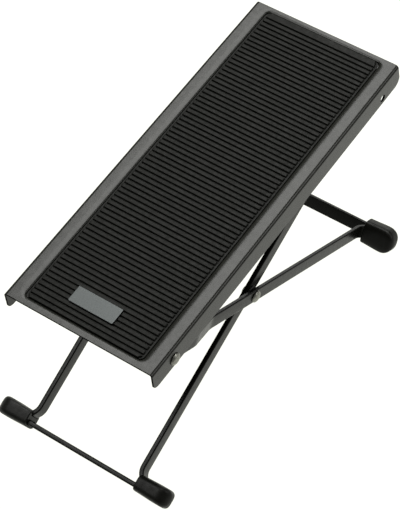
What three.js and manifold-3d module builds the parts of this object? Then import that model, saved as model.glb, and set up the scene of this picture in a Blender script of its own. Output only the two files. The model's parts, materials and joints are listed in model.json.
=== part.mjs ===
// A folding guitar footrest: a pressed steel tread with a ribbed rubber mat, carried by two crossed
// flat-bar frames on rubber feet. Millimetres, +Z up. The foot's heel end, the low end, faces -Y.
import * as THREE from 'three';
import * as BufferGeometryUtils from 'three/addons/utils/BufferGeometryUtils.js';
import Module from 'manifold-3d';

const wasm = await Module();
wasm.setup();

// Tread: a pressed plate whose long sides are bent down as flanges
const treadWidth = 113;
const treadLength = 284;
const flangeDepth = 18;
const sheetThickness = 1.5;
const bendInnerRadius = 1;

// The flanges' ends: round at the high end, which leans outward, and cut back at the low end, from
// where they deepen toward the middle
const highCornerRadius = 6;
const highEndLean = 1.2;
const lowEndDepth = 16.9;
const lowCornerLength = 5.5;
const lowCornerRise = 4;
const deepeningLength = 95;

// Recess pressed into the tread for the mat
const recessWidth = 90;
const recessDepth = 2;
const recessLowMargin = 5.6;
const recessHighMargin = 4;
const recessCornerRadius = 3.2;
const recessDraft = 0.8;

// Mat
const matBaseThickness = 0.8;
const matSideGap = 0.6;
const ribPitch = 3.837;
const grooveMouthWidth = 1.3;
const grooveFloorWidth = 0.7;
const grooveDepth = 1.2;
const firstGrooveFromMatEnd = 5.4;
const lastRibLeast = 2.4;
const ribInset = 1.2;

// Blank badge on the mat
const badgeWidth = 34;
const badgeLength = 12.4;
const badgeThickness = 0.9;
const badgeFromLowEnd = 22.6;
const badgeSideways = -2;
const badgeCornerRadius = 0.8;
const badgeEdgeBevel = 0.25;

// Flat bars that the legs and cross bars of each frame are made of, and how far outside its legs each
// frame's feet begin
const rearBar = { width: 10, thickness: 3, footInset: 1.2 };
const frontBar = { width: 11, thickness: 3.4, footInset: 0.3 };
const barEdgeBevel = 0.4;
const barEndSwell = 0.3;

// Rear frame: hangs from rivets in the flanges near the low end and runs down to the rear feet
const pivotFromLowEnd = 22.3;
const pivotBelowTread = 10.8;
const rearLegAngle = 32.1;
const pivotToScissor = 113.9;
const scissorToRearBar = 161;
const joggleStart = 28.5;
const joggleLength = 31;
const joggleBendLength = 5;
const joggleInward = 5.2;

// Front frame: crosses inside the rear one and carries the rod that holds the tread up
const frontLegAngle = 21.6;
const scissorToFrontBar = 143.8;
const scissorToRod = 133;
const footBendRadius = 8;

// Height rod between the front legs' upper ends
const rodRadius = 3;
const rodTenonRadius = 2;
const rodHeadRadius = 3.6;
const rodHeadTipShare = 0.7;

// Notched racks under the tread
const rackThickness = 2;
const rackSpacing = 74;
const rackFlangeWidth = 12;
const notchCount = 5;
const notchPitch = 10.5;
const notchDepth = 5.5;
const rackEndLand = 5;
const notchesBelowRest = 2;

// Rubber feet, one over each bent leg end and cross bar end. Each swells from its mouth on, its
// sections are squarish curves, and its middle lies a little toward the leg
const footLength = 25;
const footMouthWidth = 18;
const footMouthThickness = 11.8;
const footMouthBevel = 0.8;
const footWidth = 19.2;
const footThickness = 12.8;
const footTowardLeg = 0.5;
const footSquareness = 4;
const footTipLength = 9;
const footTipFullness = 2;
const footTipFlatLength = 5;
const footTipFlatFullness = 2.5;
const footTipWall = 4;
const footSides = 24;
const footStations = [21, 17, 13, footTipLength, 6.5, 4.5, 3, 1.8, 0.9, 0.3];

// Rivets and washers
const rivetRadius = 2.5;
const rivetHeadRadius = 4.4;
const rivetHeadHeight = 2;
const rivetTailRadius = 3.8;
const rivetTailHeight = 1.4;
const washerRadius = 5.6;
const flangeWasherThickness = 0.7;
const scissorWasherThickness = 1.2;
const spareHoleFromHighEnd = 20.2;
const spareHoleBelowTread = 12.9;
const spareHoleRadius = 2.7;

// Clearances
const restGap = 0.3;
const runningGap = 0.3;
const rodGap = 0.9;
const cutOverrun = 5;
const mergeDistance = 0.0001;

// How finely round shapes are stepped, and how often the tilt is worked out anew
const arcSteps = 6;
const roundSides = 28;
const tiltPasses = 8;

const steelPaint = new THREE.MeshStandardMaterial({ color: 0x4f5150, roughness: 0.42, metalness: 0.35 });
const barPaint = new THREE.MeshStandardMaterial({ color: 0x2c2d2b, roughness: 0.36, metalness: 0.3 });
const matRubber = new THREE.MeshStandardMaterial({ color: 0x1d1e1c, roughness: 0.8, metalness: 0 });
const footRubber = new THREE.MeshStandardMaterial({ color: 0x171816, roughness: 0.62, metalness: 0 });
const badgeMetal = new THREE.MeshStandardMaterial({ color: 0xa9abab, roughness: 0.3, metalness: 0.9 });
const rivetSteel = new THREE.MeshStandardMaterial({ color: 0x6c6d68, roughness: 0.4, metalness: 0.7 });
const washerNylon = new THREE.MeshStandardMaterial({ color: 0x262624, roughness: 0.55, metalness: 0 });

// Joining and cutting closed meshes

function toSolid(geometry) {
  const bare = geometry.clone();
  bare.deleteAttribute('normal');
  bare.deleteAttribute('uv');
  const merged = BufferGeometryUtils.mergeVertices(bare, mergeDistance);
  const vertProperties = new Float32Array(merged.attributes.position.array);
  const triVerts = new Uint32Array(merged.index.array);
  return new wasm.Manifold(new wasm.Mesh({ numProp: 3, vertProperties, triVerts }));
}

function toGeometry(solid) {
  const mesh = solid.getMesh();
  const geometry = new THREE.BufferGeometry();
  geometry.setAttribute('position', new THREE.BufferAttribute(new Float32Array(mesh.vertProperties), 3));
  geometry.setIndex(new THREE.BufferAttribute(new Uint32Array(mesh.triVerts), 1));
  geometry.computeVertexNormals();
  return geometry;
}

function cut(geometry, ...cutters) {
  const left = cutters.reduce((solid, cutter) => solid.subtract(toSolid(cutter)), toSolid(geometry));
  return toGeometry(left);
}

function join(...geometries) {
  return toGeometry(geometries.map(toSolid).reduce((whole, piece) => whole.add(piece)));
}

function common(a, b) {
  return toGeometry(toSolid(a).intersect(toSolid(b)));
}

// The same piece for the other side
function mirrored(geometry) {
  const copy = geometry.clone();
  copy.deleteAttribute('normal');
  copy.deleteAttribute('uv');
  const merged = BufferGeometryUtils.mergeVertices(copy, mergeDistance).scale(-1, 1, 1);
  const corners = merged.index.array;
  for (let i = 0; i < corners.length; i += 3) {
    [corners[i], corners[i + 1]] = [corners[i + 1], corners[i]];
  }
  merged.computeVertexNormals();
  return merged;
}

// Basic forms

// A prism along X from an outline drawn with Y to the right and Z up
function prismAlongX(outline, fromX, toX) {
  const prism = new THREE.ExtrudeGeometry(outline, { depth: toX - fromX, bevelEnabled: false });
  prism.applyMatrix4(new THREE.Matrix4().makeBasis(
    new THREE.Vector3(0, 1, 0), new THREE.Vector3(0, 0, 1), new THREE.Vector3(1, 0, 0)));
  return prism.translate(fromX, 0, 0);
}

// A prism along Z from an outline drawn in X and Y, its end edges bevelled within its full height
function prismAlongZ(outline, fromZ, toZ, bevel = 0) {
  const prism = new THREE.ExtrudeGeometry(outline, {
    depth: toZ - fromZ - 2 * bevel,
    curveSegments: arcSteps,
    bevelEnabled: bevel > 0,
    bevelThickness: bevel,
    bevelSize: bevel,
    bevelOffset: -bevel,
    bevelSegments: 1,
  });
  return prism.translate(0, 0, fromZ + bevel);
}

// A prism along Y from an outline drawn in X and Z
function prismAlongY(outline, fromY, toY) {
  return prismAlongZ(outline, -toY, -fromY).rotateX(Math.PI / 2);
}

function roundedRectangle(x0, y0, x1, y1, radius) {
  const shape = new THREE.Shape();
  shape.absarc(x1 - radius, y1 - radius, radius, 0, Math.PI / 2);
  shape.absarc(x0 + radius, y1 - radius, radius, Math.PI / 2, Math.PI);
  shape.absarc(x0 + radius, y0 + radius, radius, Math.PI, 1.5 * Math.PI);
  shape.absarc(x1 - radius, y0 + radius, radius, 1.5 * Math.PI, 2 * Math.PI);
  return shape;
}

function rectangle(x0, y0, x1, y1) {
  return new THREE.Shape([[x0, y0], [x1, y0], [x1, y1], [x0, y1]].map(([x, y]) => new THREE.Vector2(x, y)));
}

// A round piece on the X axis from a profile of [distance along X, radius] that closes on itself
function turned(profile) {
  const points = profile.map(([x, radius]) => new THREE.Vector2(radius, x));
  return new THREE.LatheGeometry(points, roundSides).rotateZ(-Math.PI / 2);
}

function pin(radius, fromX, toX, y = 0, z = 0) {
  return turned([[fromX, 0], [fromX, radius], [toX, radius], [toX, 0]]).translate(0, y, z);
}

function washer(innerRadius, outerRadius, fromX, toX) {
  const section = [[fromX, innerRadius], [fromX, outerRadius], [toX, outerRadius], [toX, innerRadius]];
  return turned([...section, section[0]]);
}

// A closed skin over rings that follow each other along +X, with a point before and one after them.
// The points of each ring go round from +Y to +Z
function skin(before, rings, after) {
  const sides = rings[0].length;
  const last = rings.length - 1;
  const at = (ring, k) => 1 + ring * sides + (k % sides);
  const afterAt = 1 + rings.length * sides;
  const corners = [];
  for (let k = 0; k < sides; k += 1) {
    corners.push(0, at(0, k + 1), at(0, k));
    for (let ring = 0; ring < last; ring += 1) {
      corners.push(at(ring, k), at(ring, k + 1), at(ring + 1, k + 1));
      corners.push(at(ring, k), at(ring + 1, k + 1), at(ring + 1, k));
    }
    corners.push(at(last, k), at(last, k + 1), afterAt);
  }
  const geometry = new THREE.BufferGeometry().setFromPoints([before, ...rings.flat(), after]);
  geometry.setIndex(corners);
  geometry.computeVertexNormals();
  return geometry;
}

// Points along an arc, from one angle to another
function arc(centreX, centreY, radius, fromAngle, toAngle, steps = arcSteps) {
  return Array.from({ length: steps + 1 }, (_, k) => {
    const angle = fromAngle + ((toAngle - fromAngle) * k) / steps;
    return new THREE.Vector2(centreX + radius * Math.cos(angle), centreY + radius * Math.sin(angle));
  });
}

// The profile of a rivet's domed end, as [distance along X, radius], in order along X
function dome(faceX, radius, height, outward) {
  const quarter = arc(0, 0, 1, 0, Math.PI / 2);
  const side = quarter.map((point) => [faceX + outward * height * point.y, radius * point.x]);
  side.at(-1)[1] = 0;
  return outward > 0 ? side : side.reverse();
}

function rivet(tailFaceX, headFaceX) {
  const tail = dome(tailFaceX, rivetTailRadius, rivetTailHeight, -1);
  const head = dome(headFaceX, rivetHeadRadius, rivetHeadHeight, 1);
  return turned([...tail, [tailFaceX, rivetRadius], [headFaceX, rivetRadius], ...head]);
}

const origin = new THREE.Vector2();
const radians = THREE.MathUtils.degToRad;
const direction = (angle) => new THREE.Vector2(Math.cos(angle), Math.sin(angle));

// Places worked out from the driving dimensions

// Across the part: outer faces of the bars on the right-hand side
const flangeInnerX = treadWidth / 2 - sheetThickness;
const rearLegTopX = flangeInnerX - flangeWasherThickness - 2 * runningGap;
const rearLegX = rearLegTopX - joggleInward;
const frontLegX = rearLegX - rearBar.thickness - scissorWasherThickness - 2 * runningGap;

// The rod's riveted ends pass inside the rear legs when the frames close, as the scissor washers do
const rodHeadHeight = scissorWasherThickness;

// In the tread's own side view: Y along the tread from its low end, Z up from its top face
const pivot = new THREE.Vector2(pivotFromLowEnd, -pivotBelowTread);
const rearDirection = direction(radians(-rearLegAngle));
const frontDirection = direction(radians(frontLegAngle));
const scissor = pivot.clone().addScaledVector(rearDirection, pivotToScissor);
const rearFoot = scissor.clone().addScaledVector(rearDirection, scissorToRearBar);
const frontFoot = scissor.clone().addScaledVector(frontDirection, -scissorToFrontBar);
const rod = scissor.clone().addScaledVector(frontDirection, scissorToRod);

// A foot's section at this X, a squarish curve round the X axis
function footRing(x, halfThickness, halfWidth) {
  const squarish = (value) => Math.sign(value) * Math.abs(value) ** (2 / footSquareness);
  return Array.from({ length: footSides }, (_, k) => {
    const angle = (2 * Math.PI * k) / footSides;
    const y = halfThickness * squarish(Math.cos(angle));
    return new THREE.Vector3(x, y, halfWidth * squarish(Math.sin(angle)));
  });
}

// How far a foot reaches below its centre when its leg stands at this angle to the ground
function footReach(angle) {
  const widest = footRing(0, footThickness / 2, footWidth / 2);
  return Math.max(...widest.map(({ y, z }) => y * Math.sin(angle) + z * Math.cos(angle)));
}

// The tread's tilt that sets all four feet on the ground
function levelTilt() {
  let tilt = 0;
  for (let pass = 0; pass < tiltPasses; pass += 1) {
    const rearReach = footReach(radians(rearLegAngle) - tilt);
    const frontReach = footReach(radians(frontLegAngle) + tilt);
    const rise = frontFoot.y - rearFoot.y + (rearReach - frontReach) / Math.cos(tilt);
    tilt = Math.atan2(rise, rearFoot.x - frontFoot.x);
  }
  return tilt;
}

// Tread

function treadPlate() {
  const halfWidth = treadWidth / 2;
  const insideX = halfWidth - sheetThickness;
  const bendRadius = bendInnerRadius + sheetThickness;
  const bendX = halfWidth - bendRadius;
  const section = new THREE.Shape([
    new THREE.Vector2(halfWidth, -flangeDepth),
    ...arc(bendX, -bendRadius, bendRadius, 0, Math.PI / 2),
    ...arc(-bendX, -bendRadius, bendRadius, Math.PI / 2, Math.PI),
    new THREE.Vector2(-halfWidth, -flangeDepth),
    new THREE.Vector2(-insideX, -flangeDepth),
    ...arc(-bendX, -bendRadius, bendInnerRadius, Math.PI, Math.PI / 2),
    ...arc(bendX, -bendRadius, bendInnerRadius, Math.PI / 2, 0),
    new THREE.Vector2(insideX, -flangeDepth),
  ]);
  const channel = prismAlongY(section, 0, treadLength + highEndLean);
  const lowCorner = arc(1, 1, 1, Math.PI, 1.5 * Math.PI).map(({ x, y }) => new THREE.Vector2(
    x * lowCornerLength, y * lowCornerRise - lowEndDepth));
  const cornerY = treadLength + highEndLean - highCornerRadius;
  const cornerZ = highCornerRadius - flangeDepth;
  const side = new THREE.Shape([
    new THREE.Vector2(0, cutOverrun),
    ...lowCorner,
    new THREE.Vector2(deepeningLength, -flangeDepth),
    ...arc(cornerY, cornerZ, highCornerRadius, 1.5 * Math.PI, 2 * Math.PI),
    new THREE.Vector2(treadLength, 0),
    new THREE.Vector2(treadLength, cutOverrun),
  ]);
  const rounded = common(channel, prismAlongX(side, -treadWidth, treadWidth));
  const recessEnd = treadLength - recessHighMargin;
  const halfRecess = recessWidth / 2;
  const trayOutline = roundedRectangle(
    -halfRecess - sheetThickness, recessLowMargin - sheetThickness,
    halfRecess + sheetThickness, recessEnd + sheetThickness, recessCornerRadius + sheetThickness);
  const trayFloor = -recessDepth - sheetThickness;
  const tray = prismAlongZ(trayOutline, trayFloor, -sheetThickness / 2, recessDraft);
  const pocketOutline = roundedRectangle(
    -halfRecess, recessLowMargin, halfRecess, recessEnd, recessCornerRadius);
  const pocket = prismAlongZ(pocketOutline, -recessDepth, cutOverrun, recessDraft);
  const rivetHole = pin(rivetRadius + runningGap, -treadWidth, treadWidth, pivot.x, pivot.y);
  const spareHole = pin(
    spareHoleRadius, -treadWidth, treadWidth, treadLength - spareHoleFromHighEnd, -spareHoleBelowTread);
  return cut(join(rounded, tray), pocket, rivetHole, spareHole);
}

const matFloor = restGap - recessDepth;
const matTop = matFloor + matBaseThickness + grooveDepth;

function treadMat() {
  const halfMat = recessWidth / 2 - matSideGap;
  const lowEnd = recessLowMargin + matSideGap;
  const highEnd = treadLength - recessHighMargin - matSideGap;
  const grooveFloor = matTop - grooveDepth;
  const corner = recessCornerRadius - matSideGap;
  const profile = [new THREE.Vector2(highEnd, matFloor), new THREE.Vector2(highEnd, matTop)];
  const leastGroove = lowEnd + lastRibLeast;
  for (let middle = highEnd - firstGrooveFromMatEnd; middle > leastGroove; middle -= ribPitch) {
    profile.push(
      new THREE.Vector2(middle + grooveMouthWidth / 2, matTop),
      new THREE.Vector2(middle + grooveFloorWidth / 2, grooveFloor),
      new THREE.Vector2(middle - grooveFloorWidth / 2, grooveFloor),
      new THREE.Vector2(middle - grooveMouthWidth / 2, matTop));
  }
  profile.push(new THREE.Vector2(lowEnd, matTop), new THREE.Vector2(lowEnd, matFloor));
  const ribs = prismAlongX(new THREE.Shape(profile), ribInset - halfMat, halfMat - ribInset);
  const baseOutline = roundedRectangle(-halfMat, lowEnd, halfMat, highEnd, corner);
  const base = prismAlongZ(baseOutline, matFloor, grooveFloor);
  const plan = prismAlongZ(baseOutline, matFloor - cutOverrun, matTop + cutOverrun);
  return join(base, common(ribs, plan));
}

function badgePlate() {
  const x0 = badgeSideways - badgeWidth / 2;
  const y0 = badgeFromLowEnd - badgeLength / 2;
  const outline = roundedRectangle(x0, y0, x0 + badgeWidth, y0 + badgeLength, badgeCornerRadius);
  const floor = matTop + restGap;
  return prismAlongZ(outline, floor, floor + badgeThickness, badgeEdgeBevel);
}

// A strip of steel with a lip against the tray, and notches along its lower edge, which follows
// the height rod's path
function notchRack() {
  const rodLine = rod.clone().sub(pivot);
  const lineAngle = rodLine.angle();
  const edge = rodRadius + rodGap;
  const notchRadius = rodRadius + runningGap;
  const onLine = ({ x, y }) => new THREE.Vector2(x, y).rotateAround(origin, lineAngle).add(pivot);
  const along = (distance) => onLine({ x: distance, y: edge });
  const firstNotch = rodLine.length() - notchesBelowRest * notchPitch;
  const top = -recessDepth - sheetThickness - restGap;
  const points = [];
  for (let notch = 0; notch < notchCount; notch += 1) {
    const middle = firstNotch + notch * notchPitch;
    const seat = arc(middle, edge + notchDepth - notchRadius, notchRadius, Math.PI, 0);
    points.push(along(middle - notchRadius), ...seat.map(onLine), along(middle + notchRadius));
  }
  const lastNotch = firstNotch + (notchCount - 1) * notchPitch;
  const lowEnd = along(firstNotch - notchRadius - rackEndLand);
  const highEnd = along(lastNotch + notchRadius + rackEndLand);
  const outline = new THREE.Shape([
    new THREE.Vector2(lowEnd.x, top), lowEnd, ...points, highEnd, new THREE.Vector2(highEnd.x, top)]);
  const webX = rackSpacing / 2 - rackThickness / 2;
  const web = prismAlongX(outline, webX, webX + rackThickness);
  const lipOutline = rectangle(lowEnd.x, top - rackThickness, highEnd.x, top);
  const lip = prismAlongX(lipOutline, webX + rackThickness - rackFlangeWidth, webX + rackThickness / 2);
  return join(web, lip);
}

// Frames, each drawn with Y along its legs and X across the part

// A strip of bar of this thickness that follows a path of points
function stripOutline(path, thickness) {
  const sides = [1, -1].map((sign) => path.map((point, k) => {
    const before = path[Math.max(k - 1, 0)];
    const after = path[Math.min(k + 1, path.length - 1)];
    const along = after.clone().sub(before).normalize();
    return new THREE.Vector2(along.y, -along.x).multiplyScalar((sign * thickness) / 2).add(point);
  }));
  return new THREE.Shape([...sides[0], ...sides[1].reverse()]);
}

// Where a bent leg end and a cross bar end stop inside their foot
function footedEnd(bar, outerX) {
  return outerX + bar.footInset + footLength - footTipWall;
}

// The bent end of a leg, which turns outward and runs along the cross bar's inner face
function bentEnd(bar, outerX, faceY, away, spare) {
  const centreRadius = footBendRadius + bar.thickness / 2;
  const startX = outerX - bar.thickness / 2;
  const turn = arc(startX + centreRadius, 0, centreRadius, Math.PI, Math.PI / 2);
  const turnY = faceY - away * (centreRadius + bar.thickness / 2);
  const points = turn.map((point) => new THREE.Vector2(point.x, turnY + away * point.y));
  points.push(new THREE.Vector2(footedEnd(bar, outerX) + spare, points.at(-1).y));
  return points;
}

// A bar along this path. With spare room all round it is the hollow that such a bar fits in
function bentBar(bar, path, spare = 0) {
  const outline = stripOutline(path, bar.thickness + 2 * spare);
  const halfWidth = bar.width / 2 + spare;
  return prismAlongZ(outline, -halfWidth, halfWidth, spare > 0 ? 0 : barEdgeBevel);
}

// A leg's end made round about its hole. The leg runs from there to its foot, toward +Y or -Y
function roundEnd(bar, leg, holeY, footY) {
  const length = Math.abs(footY - holeY) + cutOverrun;
  const radius = bar.width / 2 + barEndSwell;
  const outline = new THREE.Shape([
    ...arc(0, 0, radius, Math.PI / 2, 1.5 * Math.PI),
    new THREE.Vector2(length, -radius),
    new THREE.Vector2(length, radius),
  ]);
  const kept = prismAlongX(outline, 0, treadWidth).rotateX(footY > holeY ? 0 : Math.PI);
  return common(leg, kept.translate(0, holeY, 0));
}

const rearFaceY = pivotToScissor + scissorToRearBar;
const frontFaceY = -scissorToFrontBar;

// The joggle's way inward, as a share, at a share of its length: a bend, a straight run and a bend back
function joggleEase(share) {
  const bendShare = joggleBendLength / joggleLength;
  const fromEnd = Math.min(share, 1 - share);
  const onBend = fromEnd ** 2 / (2 * bendShare);
  const way = (fromEnd < bendShare ? onBend : fromEnd - bendShare / 2) / (1 - bendShare);
  return share < 0.5 ? way : 1 - way;
}

function rearLegPath(spare) {
  const topX = rearLegTopX - rearBar.thickness / 2;
  const lowX = rearLegX - rearBar.thickness / 2;
  const joggle = Array.from({ length: 2 * arcSteps + 1 }, (_, k) => {
    const share = k / (2 * arcSteps);
    return new THREE.Vector2(topX + (lowX - topX) * joggleEase(share), joggleStart + joggleLength * share);
  });
  const end = bentEnd(rearBar, rearLegX, rearFaceY, 1, spare);
  return [new THREE.Vector2(topX, -rearBar.width), ...joggle, ...end];
}

function rearLeg() {
  const leg = roundEnd(rearBar, bentBar(rearBar, rearLegPath(0)), 0, rearFaceY);
  const rivetHole = pin(rivetRadius + runningGap, 0, treadWidth);
  const scissorHole = pin(rivetRadius + runningGap, 0, treadWidth, pivotToScissor);
  return cut(leg, rivetHole, scissorHole);
}

function frontLegPath(spare) {
  const middleX = frontLegX - frontBar.thickness / 2;
  const end = bentEnd(frontBar, frontLegX, frontFaceY, -1, spare);
  return [new THREE.Vector2(middleX, scissorToRod + frontBar.width), ...end];
}

function frontLeg() {
  const leg = roundEnd(frontBar, bentBar(frontBar, frontLegPath(0)), scissorToRod, frontFaceY);
  const scissorHole = pin(rivetRadius + runningGap, 0, treadWidth);
  const rodHole = pin(rodTenonRadius + runningGap, 0, treadWidth, scissorToRod);
  return cut(leg, scissorHole, rodHole);
}

function crossBar(bar, outerX, faceY, away, spare = 0) {
  const halfLength = footedEnd(bar, outerX) + spare;
  const y0 = faceY + away * (restGap - spare);
  const y1 = faceY + away * (restGap + bar.thickness + spare);
  const outline = rectangle(-halfLength, Math.min(y0, y1), halfLength, Math.max(y0, y1));
  const halfWidth = bar.width / 2 + spare;
  return prismAlongZ(outline, -halfWidth, halfWidth, spare > 0 ? 0 : barEdgeBevel);
}

// A foot's half thickness and half width at this distance from its tip
function footHalfSizes(fromTip) {
  const swell = THREE.MathUtils.smoothstep(footLength - fromTip, 0, footLength - footTipLength);
  const half = (atMouth, atWidest, tipLength, fullness) => {
    const closing = Math.max(0, 1 - fromTip / tipLength) ** fullness;
    return (THREE.MathUtils.lerp(atMouth, atWidest, swell) / 2) * (1 - closing) ** (1 / fullness);
  };
  return [
    half(footMouthThickness, footThickness, footTipFlatLength, footTipFlatFullness),
    half(footMouthWidth, footWidth, footTipLength, footTipFullness),
  ];
}

// A moulded sleeve with a round tip, hollow for the leg's bent end and the cross bar's end
function rubberFoot(bar, outerX, faceY, away, legPath) {
  const mouthX = outerX + bar.footInset;
  const tipX = mouthX + footLength;
  const mouth = footHalfSizes(footLength).map((size) => size - footMouthBevel);
  const stations = [footLength - footMouthBevel, ...footStations];
  const rings = [
    footRing(mouthX, ...mouth),
    ...stations.map((fromTip) => footRing(tipX - fromTip, ...footHalfSizes(fromTip))),
  ];
  const block = skin(new THREE.Vector3(mouthX, 0, 0), rings, new THREE.Vector3(tipX, 0, 0))
    .translate(0, faceY + away * (restGap / 2 - footTowardLeg), 0);
  const legHollow = bentBar(bar, legPath(restGap), restGap);
  return cut(block, legHollow, crossBar(bar, outerX, faceY, away, restGap));
}

function heightRod() {
  const shoulder = frontLegX - frontBar.thickness - restGap;
  const headFace = frontLegX + restGap;
  const headTip = headFace + rodHeadHeight;
  const half = [
    [shoulder, rodRadius],
    [shoulder, rodTenonRadius],
    [headFace, rodTenonRadius],
    [headFace, rodHeadRadius],
    [headTip - rodHeadHeight / 2, rodHeadRadius],
    [headTip, rodHeadRadius * rodHeadTipShare],
    [headTip, 0],
  ];
  const otherHalf = half.map(([x, radius]) => [-x, radius]).reverse();
  return turned([...otherHalf, ...half]).translate(0, scissorToRod, 0);
}

// Assembly

function piece(name, geometry, material) {
  const mesh = new THREE.Mesh(geometry, material);
  mesh.name = name;
  return mesh;
}

// A piece of the right-hand side and its mirror image
function pair(name, geometry, material) {
  return [
    piece(`${name}_right`, geometry, material),
    piece(`${name}_left`, mirrored(geometry), material),
  ];
}

const tread = new THREE.Group();
tread.add(
  piece('tread_plate', treadPlate(), steelPaint),
  piece('tread_mat', treadMat(), matRubber),
  piece('badge_plate', badgePlate(), badgeMetal),
  ...pair('notch_rack', notchRack(), barPaint));

const rearFrame = new THREE.Group();
rearFrame.position.set(0, pivot.x, pivot.y);
rearFrame.rotation.x = radians(-rearLegAngle);
const flangeRivet = rivet(rearLegTopX - rearBar.thickness - runningGap, treadWidth / 2 + runningGap);
const flangeWasher = washer(
  rivetRadius + runningGap, washerRadius, rearLegTopX + runningGap, flangeInnerX - runningGap);
const scissorRivet = rivet(frontLegX - frontBar.thickness - runningGap, rearLegX + runningGap)
  .translate(0, pivotToScissor, 0);
const scissorWasher = washer(
  rivetRadius + runningGap, washerRadius, frontLegX + runningGap, rearLegX - rearBar.thickness - runningGap)
  .translate(0, pivotToScissor, 0);
rearFrame.add(
  ...pair('rear_leg', rearLeg(), barPaint),
  piece('rear_cross_bar', crossBar(rearBar, rearLegX, rearFaceY, 1), barPaint),
  ...pair('rear_foot', rubberFoot(rearBar, rearLegX, rearFaceY, 1, rearLegPath), footRubber),
  ...pair('flange_rivet', flangeRivet, rivetSteel),
  ...pair('flange_washer', flangeWasher, washerNylon),
  ...pair('scissor_rivet', scissorRivet, rivetSteel),
  ...pair('scissor_washer', scissorWasher, washerNylon));

const frontFrame = new THREE.Group();
frontFrame.position.set(0, scissor.x, scissor.y);
frontFrame.rotation.x = radians(frontLegAngle);
frontFrame.add(
  ...pair('front_leg', frontLeg(), barPaint),
  piece('front_cross_bar', crossBar(frontBar, frontLegX, frontFaceY, -1), barPaint),
  ...pair('front_foot', rubberFoot(frontBar, frontLegX, frontFaceY, -1, frontLegPath), footRubber),
  piece('height_rod', heightRod(), rivetSteel));

const tilted = new THREE.Group();
tilted.rotation.x = levelTilt();
tilted.add(tread, rearFrame, frontFrame);

// The origin is on the ground, under the middle of the whole part
const footrest = new THREE.Group();
footrest.add(tilted);
footrest.updateMatrixWorld(true);
const extent = new THREE.Box3().setFromObject(footrest, true);
tilted.position.set(0, -(extent.min.y + extent.max.y) / 2, -extent.min.z);
footrest.updateMatrixWorld(true);

export default footrest;
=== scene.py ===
import json
import math
from typing import NamedTuple

import bmesh
import bpy
from mathutils import Matrix, Vector
from mathutils.geometry import delaunay_2d_cdt


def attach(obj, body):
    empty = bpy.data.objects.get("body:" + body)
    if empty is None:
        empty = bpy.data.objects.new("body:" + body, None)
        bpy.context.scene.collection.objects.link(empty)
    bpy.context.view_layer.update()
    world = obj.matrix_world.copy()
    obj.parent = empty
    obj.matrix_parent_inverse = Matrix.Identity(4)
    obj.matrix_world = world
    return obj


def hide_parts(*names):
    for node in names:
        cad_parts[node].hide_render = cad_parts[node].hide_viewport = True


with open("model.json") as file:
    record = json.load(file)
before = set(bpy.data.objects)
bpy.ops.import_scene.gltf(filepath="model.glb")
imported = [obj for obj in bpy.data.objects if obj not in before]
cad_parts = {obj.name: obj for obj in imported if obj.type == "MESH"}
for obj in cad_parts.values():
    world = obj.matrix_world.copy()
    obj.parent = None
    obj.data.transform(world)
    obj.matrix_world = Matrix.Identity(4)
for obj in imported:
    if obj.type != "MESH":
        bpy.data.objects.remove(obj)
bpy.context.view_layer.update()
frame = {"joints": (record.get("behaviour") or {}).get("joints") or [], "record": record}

# A folding guitar footrest. The solids stay for collision, and each is shown as a finer piece of the
# same size: sheets with rounded edges and real bends, turned rivets, a ribbed mat and moulded feet.
# The pieces are drawn in millimetres and degrees, and the studio in metres.

MM = 0.001

# A distance that counts as none
TINY = 0.0001

# Clearances
GAP = 0.3
ROD_GAP = 0.9

# Tread plate, whose flanges have rounded low corners and deepen from there to their full depth
TREAD_WIDTH = 113.0
TREAD_LENGTH = 284.0
FLANGE_DEPTH = 18.0
SHEET = 1.5
SHEET_EDGE = 0.2
BEND_INNER_RADIUS = 1.0
HIGH_CORNER_RADIUS = 6.0
HIGH_END_LEAN = 1.2
LEAN_BELOW_BEND = 0.5
LOW_END_DEPTH = 16.9
LOW_CORNER_LENGTH = 5.5
LOW_CORNER_RISE = 4.0
DEEPENING_LENGTH = 95.0

# The tread turns on its flange rivets, here from its low end and its top face
PIVOT_Y = 22.3
PIVOT_Z = -10.8

# The open hole of each flange, from the tread's high end and its top face
SPARE_HOLE_TO_END = 20.2
SPARE_HOLE_DEPTH = 12.9
SPARE_HOLE_RADIUS = 2.7

# The recess for the mat, with a soft lip above and a tray below the sheet
RECESS_WIDTH = 90.0
RECESS_DEPTH = 2.0
RECESS_LOW_MARGIN = 5.6
RECESS_HIGH_MARGIN = 4.0
RECESS_CORNER_RADIUS = 3.2
LIP_WIDTH = 4.5
LIP_DROP = 1.2
END_LIP_SHARE = 0.62
FLOOR_FILLET = 0.6
TRAY_FILLET = 0.4
TRAY_RADIUS = 1.0

# Mat and badge
MAT_BASE = 0.8
MAT_SIDE_GAP = 0.6
RIB_PITCH = 3.837
GROOVE_MOUTH = 1.3
GROOVE_FLOOR = 0.7
GROOVE_DEPTH = 1.2
FIRST_GROOVE = 5.4
LAST_RIB_LEAST = 2.4
RIB_INSET = 1.2
RIB_SHOULDER = 0.35
RIB_END_ROUND = 0.9
BADGE_WIDTH = 34.0
BADGE_LENGTH = 12.4
BADGE_MIDDLE = (-2.0, 22.6)
BADGE_THICKNESS = 0.9
BADGE_CORNER_RADIUS = 0.8
BADGE_EDGE = 0.25

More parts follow.
